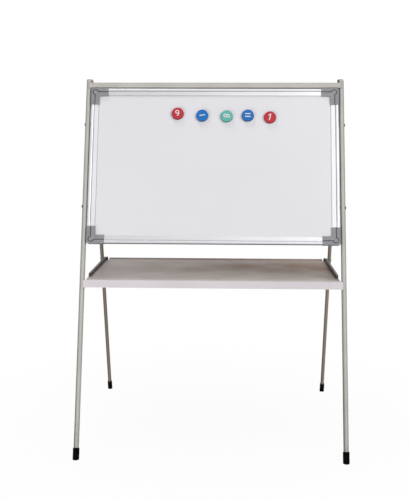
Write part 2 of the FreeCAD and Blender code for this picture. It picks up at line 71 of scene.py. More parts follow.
# %% Directions of the leaning board
right = Vector((1, 0, 0))
world_up = (0, 0, 1)
sides = (("left", -1), ("right", 1))
pull = next(joint for joint in frame["joints"] if joint["name"] == "magnet_pull_green")
out = Vector(pull["axis"]).normalized()
up = out.cross(right)
lean = math.asin(up.y)
board_axes = Matrix((right, up, out)).transposed().to_4x4()
print("the board leans back by", round(math.degrees(lean), 2), "degrees")


def reach(node, direction):
    """Lowest and highest place of a node's points along a direction."""
    places = [vertex.co.dot(direction) for vertex in nodes[node].data.vertices]
    return min(places), max(places)


# %% [markdown]
# A finish is a small network of shader nodes. Writing each node and link in full hides the idea behind
# the wiring, so a few helpers come first. They set a socket or link it, add a node with its inputs, do
# sums, stretch a value onto a new range, mix two colours and lighten or darken one. Most of a noise lies
# in the middle of its range, so one helper stretches just that part.

# %% Helpers for shader nodes
noise_low = 0.3
noise_high = 0.7


def feed(tree, socket, value):
    """Link an output into a socket, or set the socket's own value."""
    if isinstance(value, bpy.types.NodeSocket):
        tree.links.new(value, socket)
    else:
        socket.default_value = value


def add(tree, kind, **inputs):
    """A new node with its inputs, named with _ for a space."""
    node = tree.nodes.new("ShaderNode" + kind)
    for name, value in inputs.items():
        feed(tree, node.inputs[name.replace("_", " ")], value)
    return node


def calc(tree, operation, first, second):
    node = tree.nodes.new("ShaderNodeMath")
    node.operation = operation
    feed(tree, node.inputs[0], first)
    feed(tree, node.inputs[1], second)
    return node.outputs[0]


def along(tree, vector, direction):
    """How far a vector reaches along a fixed direction."""
    node = tree.nodes.new("ShaderNodeVectorMath")
    node.operation = "DOT_PRODUCT"
    feed(tree, node.inputs[0], vector)
    node.inputs[1].default_value = direction
    return node.outputs["Value"]


def ranged(tree, value, low, high, to_low=0.0, to_high=1.0):
    """Stretch low..high onto to_low..to_high, and hold the value at both ends."""
    node = add(tree, "MapRange", Value=value, From_Min=low, From_Max=high, To_Min=to_low, To_Max=to_high)
    return node.outputs["Result"]


def spanned(tree, pattern, to_low, to_high):
    """Stretch the part of a noise where most of it lies onto to_low..to_high."""
    return ranged(tree, pattern, noise_low, noise_high, to_low, to_high)


def mixed(tree, share, first, second):
    node = tree.nodes.new("ShaderNodeMix")
    node.data_type = "RGBA"
    feed(tree, node.inputs[0], share)
    feed(tree, node.inputs[6], first)
    feed(tree, node.inputs[7], second)
    return node.outputs[2]


def toned(tree, colour, tone):
    """Lighten or darken a colour by a tone near 1."""
    return add(tree, "HueSaturation", Color=colour, Value=tone).outputs[0]


def noise(tree, place, scale, detail=2.0):
    return add(tree, "TexNoise", Vector=place, Scale=scale, Detail=detail).outputs[0]


def bumped(tree, height, depth):
    """A normal from a height of 0 to 1 that stands for a relief of this depth."""
    return add(tree, "Bump", Height=height, Distance=depth).outputs[0]


def object_place(tree):
    return add(tree, "TexCoord").outputs["Object"]


def object_normal(tree):
    return add(tree, "TexCoord").outputs["Normal"]


def rgb(red, green, blue):
    return (red, green, blue, 1.0)


print("shader helpers ready")

# %% [markdown]
# Some effects turn up on many finishes: the skin of sprayed paint, dust, dirt from the floor, drawn
# lines, moulded grain and worn edges. Each becomes a node group, built once and placed in a finish with
# its own values, as a maker keeps one recipe and changes the amounts. A group gives masks and heights.

# %% Helpers for node groups
def new_group(name, takes, gives):
    """An empty group. takes maps its inputs to their defaults, and gives lists its outputs."""
    tree = bpy.data.node_groups.new(name, "ShaderNodeTree")
    for socket, default in takes.items():
        kind = "NodeSocketVector" if isinstance(default, tuple) else "NodeSocketFloat"
        made = tree.interface.new_socket(socket, in_out="INPUT", socket_type=kind)
        made.default_value = default
    for socket in gives:
        tree.interface.new_socket(socket, in_out="OUTPUT", socket_type="NodeSocketFloat")
    return tree, tree.nodes.new("NodeGroupInput").outputs, tree.nodes.new("NodeGroupOutput").inputs


def placed(tree, group, **inputs):
    node = tree.nodes.new("ShaderNodeGroup")
    node.node_tree = group
    for name, value in inputs.items():
        feed(tree, node.inputs[name.replace("_", " ")], value)
    return node.outputs


def drifting(tree, pattern, spread):
    """A tone that a noise takes from 1 by this spread to both sides."""
    darkest = calc(tree, "SUBTRACT", 1.0, spread)
    lightest = calc(tree, "ADD", 1.0, spread)
    return spanned(tree, pattern, darkest, lightest)


print("group helpers ready")

# %% [markdown]
# Sprayed paint dries with a fine skin like an orange's peel, and its colour drifts a little from place
# to place. Both could be painted by hand, but two noises of different size do the same on any piece:
# a fine one for the height of the skin, and a broad one for the drift of the tone.

# %% Group: sprayed film
film_group, takes, gives = new_group(
    "sprayed film", {"Peel Scale": 600.0, "Cloud Scale": 10.0, "Spread": 0.05}, ["Tone", "Height"])
cloud = noise(film_group, object_place(film_group), takes["Cloud Scale"], 3.0)
feed(film_group, gives["Tone"], drifting(film_group, cloud, takes["Spread"]))
feed(film_group, gives["Height"], noise(film_group, object_place(film_group), takes["Peel Scale"]))
print("group", film_group.name)

# %% [markdown]
# Dust settles on what faces up. The surface's own normal tells which way it faces, and a patchy noise
# keeps the layer from looking like a second coat of paint.

# %% Group: settled dust
dust_group, takes, gives = new_group("settled dust", {"Amount": 0.3, "Patch Scale": 25.0}, ["Mask"])
facing_up = ranged(dust_group, along(dust_group, object_normal(dust_group), world_up), 0.6, 0.95)
flecks = noise(dust_group, object_place(dust_group), takes["Patch Scale"], 5.0)
patches = ranged(dust_group, flecks, 0.3, 0.75)
layer = calc(dust_group, "MULTIPLY", facing_up, patches)
feed(dust_group, gives["Mask"], calc(dust_group, "MULTIPLY", layer, takes["Amount"]))
print("group", dust_group.name)

# %% [markdown]
# Feet and the low ends of the legs pick up dirt from shoes and mops. The height above the floor fades
# the mask out, and a noise breaks its edge.

# %% Group: dirt from the floor
dirt_group, takes, gives = new_group("dirt from the floor", {"Reach": 0.15, "Amount": 0.5}, ["Mask"])
height = along(dirt_group, object_place(dirt_group), world_up)
nearness = ranged(dirt_group, height, 0.0, takes["Reach"], 1.0, 0.0)
splashes = ranged(dirt_group, noise(dirt_group, object_place(dirt_group), 90.0, 4.0), 0.35, 0.7)
layer = calc(dirt_group, "MULTIPLY", nearness, splashes)
feed(dirt_group, gives["Mask"], calc(dirt_group, "MULTIPLY", layer, takes["Amount"]))
print("group", dirt_group.name)

# %% [markdown]
# Extruded and rolled metal carries fine lines along its length. A noise that is stretched a few hundred
# times along one axis becomes such lines. The stretch is set outside the group, so that level and
# upright pieces share it.

# %% Group: drawn lines
lines_group, takes, gives = new_group(
    "drawn lines", {"Place": (0.0, 0.0, 0.0), "Spread": 0.04}, ["Tone", "Height"])
lines = noise(lines_group, takes["Place"], 1.0, 4.0)
feed(lines_group, gives["Tone"], drifting(lines_group, lines, takes["Spread"]))
feed(lines_group, gives["Height"], lines)
print("group", lines_group.name)

# %% [markdown]
# Moulds for plastic and rubber are often etched, which leaves a grain of small rounded cells on the
# part. The distance to the nearest cell of a Voronoi texture is that grain, and a slow noise adds the
# uneven tone of moulded plastic.

# %% Group: moulded grain
grain_group, takes, gives = new_group(
    "moulded grain", {"Grain Scale": 1400.0, "Spread": 0.05}, ["Tone", "Height"])
cell_rim = 0.6
cells = add(grain_group, "TexVoronoi", Vector=object_place(grain_group), Scale=takes["Grain Scale"])
flow = noise(grain_group, object_place(grain_group), 70.0, 4.0)
feed(grain_group, gives["Tone"], drifting(grain_group, flow, takes["Spread"]))
feed(grain_group, gives["Height"], cells.outputs["Distance"])
print("group", grain_group.name)

# %% [markdown]
# Paint wears first where edges rub. The Bevel node gives the normal that a rounded edge would have, and
# where it differs from the true normal, an edge is near. A noise then leaves most of the edge whole.

# %% Group: worn edges
worn_group, takes, gives = new_group("worn edges", {"Width": 0.0012, "Amount": 0.6}, ["Mask"])
soft_edge = add(worn_group, "Bevel", Radius=takes["Width"])
soft_edge.samples = 4
both_normals = worn_group.nodes.new("ShaderNodeVectorMath")
both_normals.operation = "DOT_PRODUCT"
feed(worn_group, both_normals.inputs[0], soft_edge.outputs[0])
feed(worn_group, both_normals.inputs[1], add(worn_group, "NewGeometry").outputs["Normal"])
edges = ranged(worn_group, both_normals.outputs["Value"], 0.99, 0.82)
rubbed = ranged(worn_group, noise(worn_group, object_place(worn_group), 45.0, 5.0), 0.42, 0.62)
layer = calc(worn_group, "MULTIPLY", edges, rubbed)
feed(worn_group, gives["Mask"], calc(worn_group, "MULTIPLY", layer, takes["Amount"]))
print("group", worn_group.name)

# %% [markdown]
# A finish starts as a material with one Principled shader. Values that are the same all over are set on
# the shader's own sockets, and only what changes over the surface is linked in.

# %% A new finish
finishes = {}


def new_finish(name, **constants):
    """A material with its fixed values set, kept by name."""
    material = bpy.data.materials.new(name)
    material.use_nodes = True
    tree = material.node_tree
    shader = tree.nodes["Principled BSDF"]
    for socket, value in constants.items():
        shader.inputs[socket.replace("_", " ")].default_value = value
    finishes[name] = material
    return tree, shader.inputs


print("finishes can be made")

# %% [markdown]
# The posts, legs and side bars are steel tube and flat under powder coat: beige-grey on the front frame.
# The rear legs and bars stand in the shade of the board, so their colour is painted darker, grey-brown on
# the legs and almost black on the bars: painted shade. One function makes all three, because only their
# colour, gloss and wear differ. A tube is painted darker towards its sides, where Layer Weight tells how far
# the surface turns away: painted shade. Faces that look down are painted almost black, a painted shade
# under the crossbar and bars. The tubes' left sides are painted darker too, and more so towards their feet:
# painted shade for a light from the right.

# %% Finish: powder-coated steel
floor_dirt = rgb(0.17, 0.14, 0.11)
# The colour of the painted shade on faces that look down.
down_face_shade_colour = rgb(0.035, 0.032, 0.03)
coat_dust = rgb(0.55, 0.53, 0.50)
down_face_shade_share = 0.97
# Painted shade on the tubes' left sides, darkest near the floor.
left_shade_low = 0.1
left_shade_high = 0.9
left_shade_foot_tone = 0.40
left_shade_head_tone = 0.92
sheen_drift = 0.06


def powder_coat(name, colour, worn_colour, sheen, edge_shade_tone, dusty):
    tree, shader = new_finish(name, Specular_IOR_Level=0.12)
    turned_away = add(tree, "LayerWeight", Blend=0.5).outputs["Facing"]
    # Painted shade: a tube's colour is darkened towards its sides, where it turns away from the camera.
    edge_shade = ranged(tree, turned_away, 0.04, 0.62, 1.0, edge_shade_tone)
    # Painted shade: faces that look down are painted almost black.
    facing_down_shade = ranged(tree, along(tree, object_normal(tree), world_up), -0.5, -0.8, 0.0, down_face_shade_share)
    height = along(tree, object_place(tree), world_up)
    # Painted shade: faces that turn left are darkened, more so low down.
    left_shade_tone = ranged(tree, height, left_shade_low, left_shade_high, left_shade_foot_tone, left_shade_head_tone)
    left_side_shade = ranged(tree, along(tree, object_normal(tree), right), 0.0, -0.85, 1.0, left_shade_tone)
    film = placed(tree, film_group, Peel_Scale=700.0, Cloud_Scale=9.0, Spread=0.06)
    dirt = placed(tree, dirt_group, Reach=0.14, Amount=0.4)
    worn = placed(tree, worn_group, Width=0.0012, Amount=0.55)
    dust = placed(tree, dust_group, Amount=dusty, Patch_Scale=60.0)
    coat = toned(tree, colour, film["Tone"])
    coat = mixed(tree, worn["Mask"], coat, worn_colour)
    coat = toned(tree, coat, calc(tree, "MULTIPLY", edge_shade, left_side_shade))
    coat = mixed(tree, facing_down_shade, coat, down_face_shade_colour)
    coat = mixed(tree, dust["Mask"], coat, coat_dust)
    feed(tree, shader["Base Color"], mixed(tree, dirt["Mask"], coat, floor_dirt))
    feed(tree, shader["Roughness"], spanned(tree, film["Height"], sheen - sheen_drift, sheen + sheen_drift))
    feed(tree, shader["Normal"], bumped(tree, film["Height"], 0.00012))


powder_coat("frame_paint", rgb(0.54, 0.525, 0.485), rgb(0.64, 0.62, 0.58),
            sheen=0.42, edge_shade_tone=0.55, dusty=0.18)
# Painted shade: the rear legs' colour is darkened for the shade behind the board.
powder_coat("rear_paint", rgb(0.345, 0.285, 0.23), rgb(0.38, 0.35, 0.31),
            sheen=0.45, edge_shade_tone=0.6, dusty=0.18)
# Painted shade: the side bars' colour is darkened almost to black for the shade of the board.
powder_coat("bar_paint", rgb(0.085, 0.074, 0.062), rgb(0.24, 0.23, 0.21),
            sheen=0.48, edge_shade_tone=0.8, dusty=0.5)
print("powder coats made")

# %% [markdown]
# The tray is one folded sheet with a smooth light grey enamel, a shade towards lilac. Its deck is painted
# warmer and darker than its lip, a painted shade on the face that looks up. All that lies behind the lip gets
# that shaded tone from a mask, so the fold between deck and lip stays one paint. The board's shadow across the
# middle of the deck is painted in a dark brown: a second mask rises from both edges to the middle, and from
# the left to the right, where the painted shadow is deeper.

# %% Finish: tray enamel
lip_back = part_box("tray_front_lip")[1].y
deck_low, deck_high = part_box("tray_deck")
# Place, reach and strength of the board's painted shadow on the deck.
board_shadow_place = 0.64
board_shadow_front = 0.04
board_shadow_back = 0.02
board_shadow_past_deck = 0.10
board_shadow_full_x = 0.1
board_shadow_left = 0.25
board_shadow_right = 0.95
lip_colour = rgb(0.70, 0.66, 0.685)
# Painted shade: the deck faces up and is painted darker and warmer than the lip.
shaded_deck_colour = rgb(0.585, 0.52, 0.485)
board_shadow_colour = rgb(0.165, 0.085, 0.045)
deck_middle = deck_low.y + board_shadow_place * (deck_high.y - deck_low.y)
tree, shader = new_finish("tray_paint", Specular_IOR_Level=0.08)
film = placed(tree, film_group, Peel_Scale=420.0, Cloud_Scale=7.0, Spread=0.035)
dust = placed(tree, dust_group, Amount=0.3, Patch_Scale=14.0)
worn = placed(tree, worn_group, Width=0.0015, Amount=0.5)
backward = along(tree, object_place(tree), (0, 1, 0))
# Painted shade: everything behind the lip takes the shaded deck colour.
deck_shade_mask = ranged(tree, backward, lip_back, lip_back + 0.002)
from_front = ranged(tree, backward, lip_back, deck_middle - board_shadow_front)
from_back = ranged(tree, backward, deck_high.y + board_shadow_past_deck, deck_middle + board_shadow_back)
sideways = along(tree, object_place(tree), right)
from_left = ranged(tree, sideways, 0.9 * deck_low.x, board_shadow_full_x, board_shadow_left, board_shadow_right)
# Painted shadow: the board's shadow across the deck, deeper to the right.
board_shadow = calc(tree, "MULTIPLY", calc(tree, "MULTIPLY", from_front, from_back), from_left)
enamel = mixed(tree, deck_shade_mask, lip_colour, shaded_deck_colour)
enamel = toned(tree, enamel, film["Tone"])
enamel = mixed(tree, dust["Mask"], enamel, rgb(0.56, 0.51, 0.48))
enamel = mixed(tree, board_shadow, enamel, board_shadow_colour)
feed(tree, shader["Base Color"], mixed(tree, worn["Mask"], enamel, rgb(0.72, 0.69, 0.70)))
feed(tree, shader["Roughness"], ranged(tree, dust["Mask"], 0.0, 0.3, 0.30, 0.50))
feed(tree, shader["Normal"], bumped(tree, film["Height"], 0.00008))
print("tray enamel made")

# %% [markdown]
# The rails round the board are extruded aluminium with a satin anodised skin. The die leaves lines along
# each rail, so the level rails stretch the noise across X and the upright ones along the lean. A Mapping
# node turns the place first and then squeezes it. The tone is painted darker to the left and lighter to the
# right, a painted shade and highlight. The narrow channel beside the round bead is painted dark, a painted
# shade: it lies deeper than the bead and still faces out. The bottom rail's channel gets no painted shade,
# but its underside is painted dark, a painted shade under the rail.

# %% Finish: anodised rails
line_count = 1500.0
line_stretch = 6.0
bead_top = reach("frame_rail_top", out)[1]
channel_edge = 0.0015
channel_floor = 0.0022
bottom_rail_top = reach("frame_rail_bottom", up)[1]
shade_fade = 0.05
# Strength of the painted shade under the bottom rail.
rail_underside_shade = 0.65
right_light_tone = 1.04


def anodised(name, scale, turn, left_shade_tone):
    tree, shader = new_finish(name, Metallic=0.5, Specular_IOR_Level=0.3)
    stretched = add(tree, "Mapping", Vector=object_place(tree), Rotation=(turn, 0, 0), Scale=scale)
    lines = placed(tree, lines_group, Place=stretched.outputs[0], Spread=0.05)
    film = placed(tree, film_group, Cloud_Scale=8.0, Spread=0.03)
    depth = calc(tree, "SUBTRACT", bead_top, along(tree, object_place(tree), out))
    facing_out = ranged(tree, along(tree, object_normal(tree), out), 0.3, 0.6)
    # Painted shade: the channel beside the bead is painted dark, except on the bottom rail.
    channel = calc(tree, "MULTIPLY", ranged(tree, depth, channel_edge, channel_floor), facing_out)
    height = along(tree, object_place(tree), up)
    channel = calc(tree, "MULTIPLY", channel, ranged(tree, height, bottom_rail_top, bottom_rail_top + shade_fade))
    # Painted shade: the bottom rail's underside is painted dark.
    underside = ranged(tree, along(tree, object_normal(tree), up), -0.45, -0.85, 0.0, rail_underside_shade)
    underside = calc(tree, "MULTIPLY", underside, ranged(tree, height, bottom_rail_top + shade_fade, bottom_rail_top))
    channel_and_underside_shade = calc(tree, "MAXIMUM", channel, underside)
    skin = toned(tree, rgb(0.73, 0.73, 0.755), lines["Tone"])
    sideways = along(tree, object_place(tree), right)
    # Painted shade and highlight: the rails are painted darker to the left and lighter to the right.
    light_drift = ranged(tree, sideways, cad_low.x, cad_high.x, left_shade_tone, right_light_tone)
    skin = toned(tree, skin, calc(tree, "MULTIPLY", film["Tone"], light_drift))
    feed(tree, shader["Base Color"], mixed(tree, channel_and_underside_shade, skin, rgb(0.10, 0.10, 0.11)))
    feed(tree, shader["Roughness"], spanned(tree, lines["Height"], 0.40, 0.52))
    feed(tree, shader["Normal"], bumped(tree, lines["Height"], 0.00003))


anodised("rail_level", (line_stretch, line_count, line_count), lean, left_shade_tone=0.80)
anodised("rail_upright", (line_count, line_count, line_stretch), lean, left_shade_tone=1.0)
finishes["rail_aluminium"] = finishes["rail_level"]
print("anodised rails made")

# %% [markdown]
# The corner caps are grey plastic with an etched grain and a sunk line. The line is modelled in the solid,
# but it is thin, so its floor is also painted almost black, a painted shade: a point is in the line if it
# faces out from the board and lies a little deeper than the cap's face.

# %% Finish: corner caps
cap_front = reach("corner_cap_top_left", out)[1]
line_depth = 0.0008
tree, shader = new_finish("cap_plastic", Specular_IOR_Level=0.4)
grain = placed(tree, grain_group, Grain_Scale=1300.0, Spread=0.10)
worn = placed(tree, worn_group, Width=0.001, Amount=0.35)
depth = calc(tree, "SUBTRACT", cap_front, along(tree, object_place(tree), out))
sunk = ranged(tree, depth, 0.4 * line_depth, 0.6 * line_depth)
facing_out = ranged(tree, along(tree, object_normal(tree), out), 0.9, 0.95)
plastic = toned(tree, rgb(0.27, 0.265, 0.285), grain["Tone"])
plastic = mixed(tree, worn["Mask"], plastic, rgb(0.40, 0.40, 0.42))
# Painted shade: the floor of the sunk line is painted almost black.
sunk_line_shade = calc(tree, "MULTIPLY", sunk, facing_out)
feed(tree, shader["Base Color"], mixed(tree, sunk_line_shade, plastic, rgb(0.018, 0.018, 0.020)))
feed(tree, shader["Roughness"], ranged(tree, grain["Height"], 0.0, cell_rim, 0.48, 0.62))
feed(tree, shader["Normal"], bumped(tree, grain["Height"], 0.00006))
print("cap plastic made, its face lies", round(cap_front, 4), "out")

# %% [markdown]
# The writing sheet is steel with a hard white lacquer. It looks even, but a cloth leaves faint arcs in
# its gloss. A noise that is stretched along the wiping hand's path changes the roughness, and hardly the
# colour.

# %% Finish: writing lacquer
tree, shader = new_finish("writing_lacquer", Coat_Weight=0.25, Coat_Roughness=0.12)
swept = add(tree, "Mapping", Vector=object_place(tree), Rotation=(lean, 0.25, 0), Scale=(2.5, 20.0, 14.0))
wipes = noise(tree, swept.outputs[0], 1.0, 5.0)
film = placed(tree, film_group, Peel_Scale=260.0, Cloud_Scale=5.0, Spread=0.012)
lacquer = toned(tree, rgb(0.775, 0.77, 0.80), film["Tone"])
haze = ranged(tree, wipes, 0.5, 0.8, 0.0, 0.04)
feed(tree, shader["Base Color"], mixed(tree, haze, lacquer, rgb(0.66, 0.66, 0.70)))
feed(tree, shader["Roughness"], ranged(tree, wipes, 0.3, 0.75, 0.30, 0.40))
feed(tree, shader["Normal"], bumped(tree, film["Height"], 0.00003))
print("writing lacquer made")

# %% [markdown]
# Behind the sheet lie a fibreboard core and a galvanised back. Zinc freezes on the steel in large flat
# crystals, which a Voronoi texture draws well: each cell gets its own tone and gloss. The fibreboard is
# pressed from short fibres, a fine noise over a broad one.

# %% Finish: galvanised back and fibreboard
tree, shader = new_finish("back_steel", Metallic=0.9)
crystals = add(tree, "TexVoronoi", Vector=object_place(tree), Scale=70.0).outputs["Color"]
crystal = along(tree, crystals, (0.6, 0.3, 0.1))
zinc_tone = ranged(tree, crystal, 0.2, 0.8, 0.86, 1.1)
feed(tree, shader["Base Color"], toned(tree, rgb(0.56, 0.57, 0.58), zinc_tone))
feed(tree, shader["Roughness"], ranged(tree, crystal, 0.1, 0.9, 0.34, 0.52))
feed(tree, shader["Normal"], bumped(tree, crystal, 0.00002))

tree, shader = new_finish("core_board", Roughness=0.85)
fibres = noise(tree, object_place(tree), 900.0, 6.0)
patches = noise(tree, object_place(tree), 40.0, 3.0)
fibreboard = toned(tree, rgb(0.36, 0.25, 0.15), spanned(tree, fibres, 0.75, 1.2))
feed(tree, shader["Base Color"], toned(tree, fibreboard, spanned(tree, patches, 0.9, 1.08)))
feed(tree, shader["Normal"], bumped(tree, fibres, 0.0002))
print("back sheet and core made")

# %% [markdown]
# Two kinds of hardware hold the easel: bright zinc on the spacers, hinge bolts and cap screws, and
# blackened steel on the bolts and nuts that show. Zinc gets a cloudy tone and handling marks. The black
# oxide rubs off along the edges of the heads.

# %% Finish: zinc and blackened steel
tree, shader = new_finish("fastener_zinc", Metallic=0.95)
film = placed(tree, film_group, Peel_Scale=900.0, Cloud_Scale=120.0, Spread=0.12)
feed(tree, shader["Base Color"], toned(tree, rgb(0.56, 0.57, 0.59), film["Tone"]))
feed(tree, shader["Roughness"], spanned(tree, film["Height"], 0.26, 0.42))
feed(tree, shader["Normal"], bumped(tree, film["Height"], 0.00002))

tree, shader = new_finish("fastener_dark", Metallic=0.5)
film = placed(tree, film_group, Peel_Scale=1100.0, Cloud_Scale=150.0, Spread=0.2)
worn = placed(tree, worn_group, Width=0.0008, Amount=0.8)
oxide = toned(tree, rgb(0.05, 0.047, 0.045), film["Tone"])
feed(tree, shader["Base Color"], mixed(tree, worn["Mask"], oxide, rgb(0.30, 0.29, 0.28)))
feed(tree, shader["Roughness"], spanned(tree, film["Height"], 0.36, 0.52))
feed(tree, shader["Normal"], bumped(tree, film["Height"], 0.00003))
print("zinc and blackened steel made")

# %% [markdown]
# Plugs and feet are moulded. The posts' plugs and the left rear one are grey, the right rear one is black,
# and the feet are matt rubber with floor dust on their lower rims. A greyer rubber is for the strips that
# come later, which stand for the shade in the gaps beside the board: painted shade. One function covers all
# grades of moulding.

# %% Finish: plugs and rubber feet
def moulded(name, colour, roughness, dusty):
    tree, shader = new_finish(name, Specular_IOR_Level=0.005)
    grain = placed(tree, grain_group, Grain_Scale=1100.0, Spread=0.10)
    dirt = placed(tree, dirt_group, Reach=0.03, Amount=dusty)
    dust = placed(tree, dust_group, Amount=0.5 * dusty, Patch_Scale=150.0)
    moulding = toned(tree, colour, grain["Tone"])
    moulding = mixed(tree, dust["Mask"], moulding, rgb(0.30, 0.28, 0.26))
    feed(tree, shader["Base Color"], mixed(tree, dirt["Mask"], moulding, rgb(0.16, 0.15, 0.14)))
    unevenness = ranged(tree, grain["Height"], 0.0, cell_rim, roughness - 0.06, roughness + 0.08)
    feed(tree, shader["Roughness"], unevenness)
    feed(tree, shader["Normal"], bumped(tree, grain["Height"], 0.00005))


moulded("plug_grey", rgb(0.47, 0.46, 0.42), roughness=0.45, dusty=0.25)
moulded("plug_black", rgb(0.010, 0.010, 0.011), roughness=0.5, dusty=0.08)
moulded("foot_rubber", rgb(0.004, 0.004, 0.0045), roughness=0.8, dusty=0.03)
# Painted shade: this grey rubber stands for the shade in the gaps beside the board.
moulded("gap_shade_rubber", rgb(0.24, 0.24, 0.24), roughness=0.7, dusty=0.10)
print("plugs and rubber made")

# %% [markdown]
# Each magnet is a coloured disc of glossy plastic with a grey ferrite disc inside. Glossy mouldings still
# show a slow flow of tone and a faint skin. The walls are painted darker than the faces, a painted shade on
# the discs' sides. The signs on them are white plastic, a touch warmer than the board so that they read on
# their own.

# %% Finish: magnets
def glossy_plastic(name, colour, wall_shade_tone):
    tree, shader = new_finish(name, Specular_IOR_Level=0.25, Coat_Weight=0.08, Coat_Roughness=0.15)
    grain = placed(tree, grain_group, Grain_Scale=500.0, Spread=0.05)
    worn = placed(tree, worn_group, Width=0.0012, Amount=0.25)
    facing_out = along(tree, object_normal(tree), out)
    # Painted shade: faces that turn away from the board's front are darkened.
    wall_shade = ranged(tree, facing_out, 0.3, 0.8, wall_shade_tone, 1.0)
    plastic = toned(tree, colour, calc(tree, "MULTIPLY", grain["Tone"], wall_shade))
    feed(tree, shader["Base Color"], mixed(tree, worn["Mask"], plastic, rgb(0.75, 0.73, 0.72)))
    feed(tree, shader["Roughness"], ranged(tree, grain["Height"], 0.0, 0.7, 0.26, 0.36))
    feed(tree, shader["Normal"], bumped(tree, grain["Height"], 0.00002))


glossy_plastic("magnet_red", rgb(0.52, 0.033, 0.050), wall_shade_tone=0.4)
glossy_plastic("magnet_blue", rgb(0.014, 0.158, 0.50), wall_shade_tone=0.4)
glossy_plastic("magnet_green", rgb(0.125, 0.46, 0.40), wall_shade_tone=0.5)
glossy_plastic("sign_white", rgb(0.80, 0.80, 0.79), wall_shade_tone=0.95)

tree, shader = new_finish("ferrite", Metallic=0.3)
grain = placed(tree, grain_group, Grain_Scale=2200.0, Spread=0.15)
feed(tree, shader["Base Color"], toned(tree, rgb(0.035, 0.035, 0.037), grain["Tone"]))
feed(tree, shader["Roughness"], ranged(tree, grain["Height"], 0.0, cell_rim, 0.55, 0.75))
feed(tree, shader["Normal"], bumped(tree, grain["Height"], 0.00008))
print("magnet plastics made")

# %% [markdown]
# The model's record names a material slot for each node, so the finishes go on by slot. The upright
# rails are the one exception: their lines run the other way.

# %% Put the finishes on the solids
for part in frame["record"]["subparts"]:
    nodes[part["node"]].material_slots[0].material = finishes[part["material_slot"]]
for side in ("left", "right"):
    nodes["frame_rail_" + side].material_slots[0].material = finishes["rail_upright"]
print("finishes on", len(nodes), "nodes:", len(finishes), "materials")

# %% [markdown]
# New pieces are modelled with bmesh operators. When a mesh is done, it becomes an object at the origin
# with its place in its points, takes its finish, and rides on the body that carries it.

# %% Turn a bmesh into a piece
def new_piece(name, mesh, finish, body):
    bmesh.ops.recalc_face_normals(mesh, faces=mesh.faces[:])
    for face in mesh.faces:
        face.smooth = True
    data = bpy.data.meshes.new(name)
    mesh.to_mesh(data)
    mesh.free()
    data.materials.append(finishes[finish])
    piece = bpy.data.objects.new(name, data)
    bpy.context.scene.collection.objects.link(piece)
    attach(piece, body)
    print(name, "has", len(data.polygons), "faces and rides on", body)
    return piece


# %% [markdown]
# The signs on the magnets are raised white strokes. A font would give letters of its own style, so each
# sign is drawn from three strokes that suit a moulded toy: a straight bar with round ends, a closed ring
# and a piece of a ring. A bar is a cube with its upright edges bevelled. A ring is a small section that
# is spun about an axis.

# %% Strokes for the signs
stroke_width = 0.0031
stroke_height = 0.0016
stroke_sink = 0.0006
stroke_corner = 0.45 * stroke_width
stroke_edge = 0.0003


def turned(x, y, degrees):
    """A place on a sign's face, and a turn about it."""
    return Matrix.Translation((x, y, 0)) @ Matrix.Rotation(math.radians(degrees), 4, "Z")


def put_stroke(sign, stroke, matrix):
    """Move a stroke to its place and join it to the sign."""
    bmesh.ops.transform(stroke, matrix=matrix, verts=stroke.verts[:])
    data = bpy.data.meshes.new("stroke")
    stroke.to_mesh(data)
    stroke.free()
    sign.from_mesh(data)
    bpy.data.meshes.remove(data)


def add_bar(sign, length, matrix):
    stroke = bmesh.new()
    bmesh.ops.create_cube(stroke, size=1.0)
    bmesh.ops.scale(stroke, vec=(length, stroke_width, stroke_height), verts=stroke.verts[:])
    upright = []
    for edge in stroke.edges:
        if abs(edge.verts[0].co.z - edge.verts[1].co.z) > stroke_height / 2:
            upright.append(edge)
    bmesh.ops.bevel(stroke, geom=upright, offset=stroke_corner, segments=6, profile=0.5,
                    affect="EDGES", material=-1)
    put_stroke(sign, stroke, matrix)


def ring_section(stroke, radius):
    """The stroke's cross-section, standing on the +X side of the ring's axis."""
    bmesh.ops.create_grid(stroke, x_segments=1, y_segments=1, size=0.5)
    bmesh.ops.scale(stroke, vec=(stroke_width, stroke_height, 1), verts=stroke.verts[:])
    bmesh.ops.rotate(stroke, matrix=Matrix.Rotation(math.pi / 2, 3, "X"), verts=stroke.verts[:])
    bmesh.ops.translate(stroke, vec=(radius, 0, 0), verts=stroke.verts[:])


def add_ring(sign, radius, matrix):
    stroke = bmesh.new()
    ring_section(stroke, radius)
    bmesh.ops.delete(stroke, geom=stroke.faces[:], context="FACES_ONLY")
    bmesh.ops.spin(stroke, geom=stroke.verts[:] + stroke.edges[:], axis=(0, 0, 1), cent=(0, 0, 0),
                   angle=2 * math.pi, steps=48, use_merge=True)
    put_stroke(sign, stroke, matrix)


def add_arc(sign, radius, degrees, matrix):
    stroke = bmesh.new()
    ring_section(stroke, radius)
    bmesh.ops.spin(stroke, geom=stroke.verts[:] + stroke.edges[:] + stroke.faces[:], axis=(0, 0, 1),
                   cent=(0, 0, 0), angle=math.radians(degrees), steps=24)
    put_stroke(sign, stroke, matrix)


print("strokes ready,", stroke_width, "wide")

# %% [markdown]
# Each sign is drawn flat and then stood on its magnet, turned a little as someone has stuck it there. The
# caps' front faces give the places: the middle of a cap across and along the board, and its highest point
# out from it. A stroke starts slightly inside the cap so that it grows out of the plastic.

